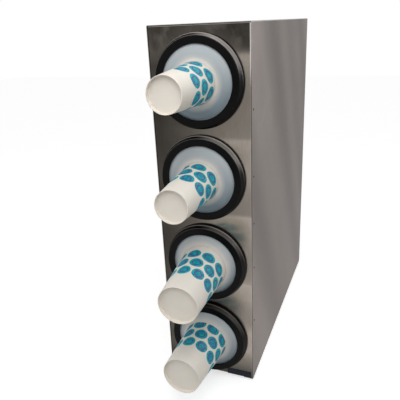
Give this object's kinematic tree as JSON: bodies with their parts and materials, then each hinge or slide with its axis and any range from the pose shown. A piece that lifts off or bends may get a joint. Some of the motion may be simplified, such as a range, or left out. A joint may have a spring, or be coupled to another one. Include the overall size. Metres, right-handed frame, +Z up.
{
  "type": "cup dispenser",
  "caption": "Tall narrow steel counter cabinet with sprung cup tubes, one above the other; soft gaskets in black trim rings hold each paper cup base outwards.",
  "frame": {"origin": "on the counter, at the middle of the space that the whole dispenser takes up, cups included", "axes": "+X to the right seen from the front, -Y out of the front, +Z up"},
  "size_m": [0.205, 0.7715, 0.774],
  "materials": {
    "steel": "brushed",
    "zinc_steel": "zinc plated",
    "spring_steel": "bright wire",
    "black_trim": "gloss",
    "tube_plastic": "moulded satin",
    "silicone": "translucent satin",
    "paper": "printed and waxed",
    "plate": "bare",
    "foot_rubber": "matt"
  },
  "bodies": {
    "cabinet": {"cabinet_wrap": "steel", "front_panel": "steel", "base_panel": "steel", "back_panel": "steel", "tube_rest_bars": "zinc_steel", "tube_clips": "zinc_steel", "label_plate": "plate", "side_rivets": "steel", "back_screws": "steel", "base_screws": "steel", "foot_pads": "foot_rubber", "dispenser_tube_1": "tube_plastic", "tube_collar_1": "tube_plastic", "end_cap_1": "tube_plastic", "spring_1": "spring_steel", "gasket_1": "silicone", "dispenser_tube_2": "tube_plastic", "tube_collar_2": "tube_plastic", "end_cap_2": "tube_plastic", "spring_2": "spring_steel", "gasket_2": "silicone", "dispenser_tube_3": "tube_plastic", "tube_collar_3": "tube_plastic", "end_cap_3": "tube_plastic", "spring_3": "spring_steel", "gasket_3": "silicone", "dispenser_tube_4": "tube_plastic", "tube_collar_4": "tube_plastic", "end_cap_4": "tube_plastic", "spring_4": "spring_steel", "gasket_4": "silicone"},
    "front_cup_1": {"front_cup_1": "paper"},
    "pusher_1": {"pusher_1": "tube_plastic"},
    "trim_ring_1": {"trim_ring_1": "black_trim"},
    "front_cup_2": {"front_cup_2": "paper"},
    "pusher_2": {"pusher_2": "tube_plastic"},
    "trim_ring_2": {"trim_ring_2": "black_trim"},
    "front_cup_3": {"front_cup_3": "paper"},
    "pusher_3": {"pusher_3": "tube_plastic"},
    "trim_ring_3": {"trim_ring_3": "black_trim"},
    "front_cup_4": {"front_cup_4": "paper"},
    "pusher_4": {"pusher_4": "tube_plastic"},
    "trim_ring_4": {"trim_ring_4": "black_trim"}
  },
  "joints": [
    {"name": "cup_pull_1", "type": "slide", "parent": "cabinet", "child": "front_cup_1", "axis": [0.0024, -1, -0.0076], "range_m": [0, 0.09], "deforming": ["gasket_1"]},
    {"name": "pusher_slide_1", "type": "slide", "parent": "cabinet", "child": "pusher_1", "axis": [0, 1, 0], "range_m": [0, 0.505], "stiffness_N_per_m": 10, "springref_m": -0.3, "deforming": ["spring_1"]},
    {"name": "ring_twist_1", "type": "hinge", "parent": "cabinet", "child": "trim_ring_1", "pos_m": [0, -0.2151, 0.6708], "axis": [0, -1, 0], "range_deg": [0, 30]},
    {"name": "cup_pull_2", "type": "slide", "parent": "cabinet", "child": "front_cup_2", "axis": [0.0076, -0.9999, -0.0088], "range_m": [0, 0.086], "deforming": ["gasket_2"]},
    {"name": "pusher_slide_2", "type": "slide", "parent": "cabinet", "child": "pusher_2", "axis": [0, 1, 0], "range_m": [0, 0.51], "stiffness_N_per_m": 10, "springref_m": -0.3, "deforming": ["spring_2"]},
    {"name": "ring_twist_2", "type": "hinge", "parent": "cabinet", "child": "trim_ring_2", "pos_m": [0, -0.2151, 0.482], "axis": [0, -1, 0], "range_deg": [0, 30]},
    {"name": "cup_pull_3", "type": "slide", "parent": "cabinet", "child": "front_cup_3", "axis": [0.0275, -0.9994, -0.0187], "range_m": [0, 0.089], "deforming": ["gasket_3"]},
    {"name": "pusher_slide_3", "type": "slide", "parent": "cabinet", "child": "pusher_3", "axis": [0, 1, 0], "range_m": [0, 0.505], "stiffness_N_per_m": 10, "springref_m": -0.3, "deforming": ["spring_3"]},
    {"name": "ring_twist_3", "type": "hinge", "parent": "cabinet", "child": "trim_ring_3", "pos_m": [0, -0.2151, 0.2932], "axis": [0, -1, 0], "range_deg": [0, 30]},
    {"name": "cup_pull_4", "type": "slide", "parent": "cabinet", "child": "front_cup_4", "axis": [-0.0429, -0.9988, 0.022], "range_m": [0, 0.109], "deforming": ["gasket_4"]},
    {"name": "pusher_slide_4", "type": "slide", "parent": "cabinet", "child": "pusher_4", "axis": [0, 1, 0], "range_m": [0, 0.485], "stiffness_N_per_m": 10, "springref_m": -0.3, "deforming": ["spring_4"]},
    {"name": "ring_twist_4", "type": "hinge", "parent": "cabinet", "child": "trim_ring_4", "pos_m": [0, -0.2151, 0.1044], "axis": [0, -1, 0], "range_deg": [0, 30]}
  ]
}
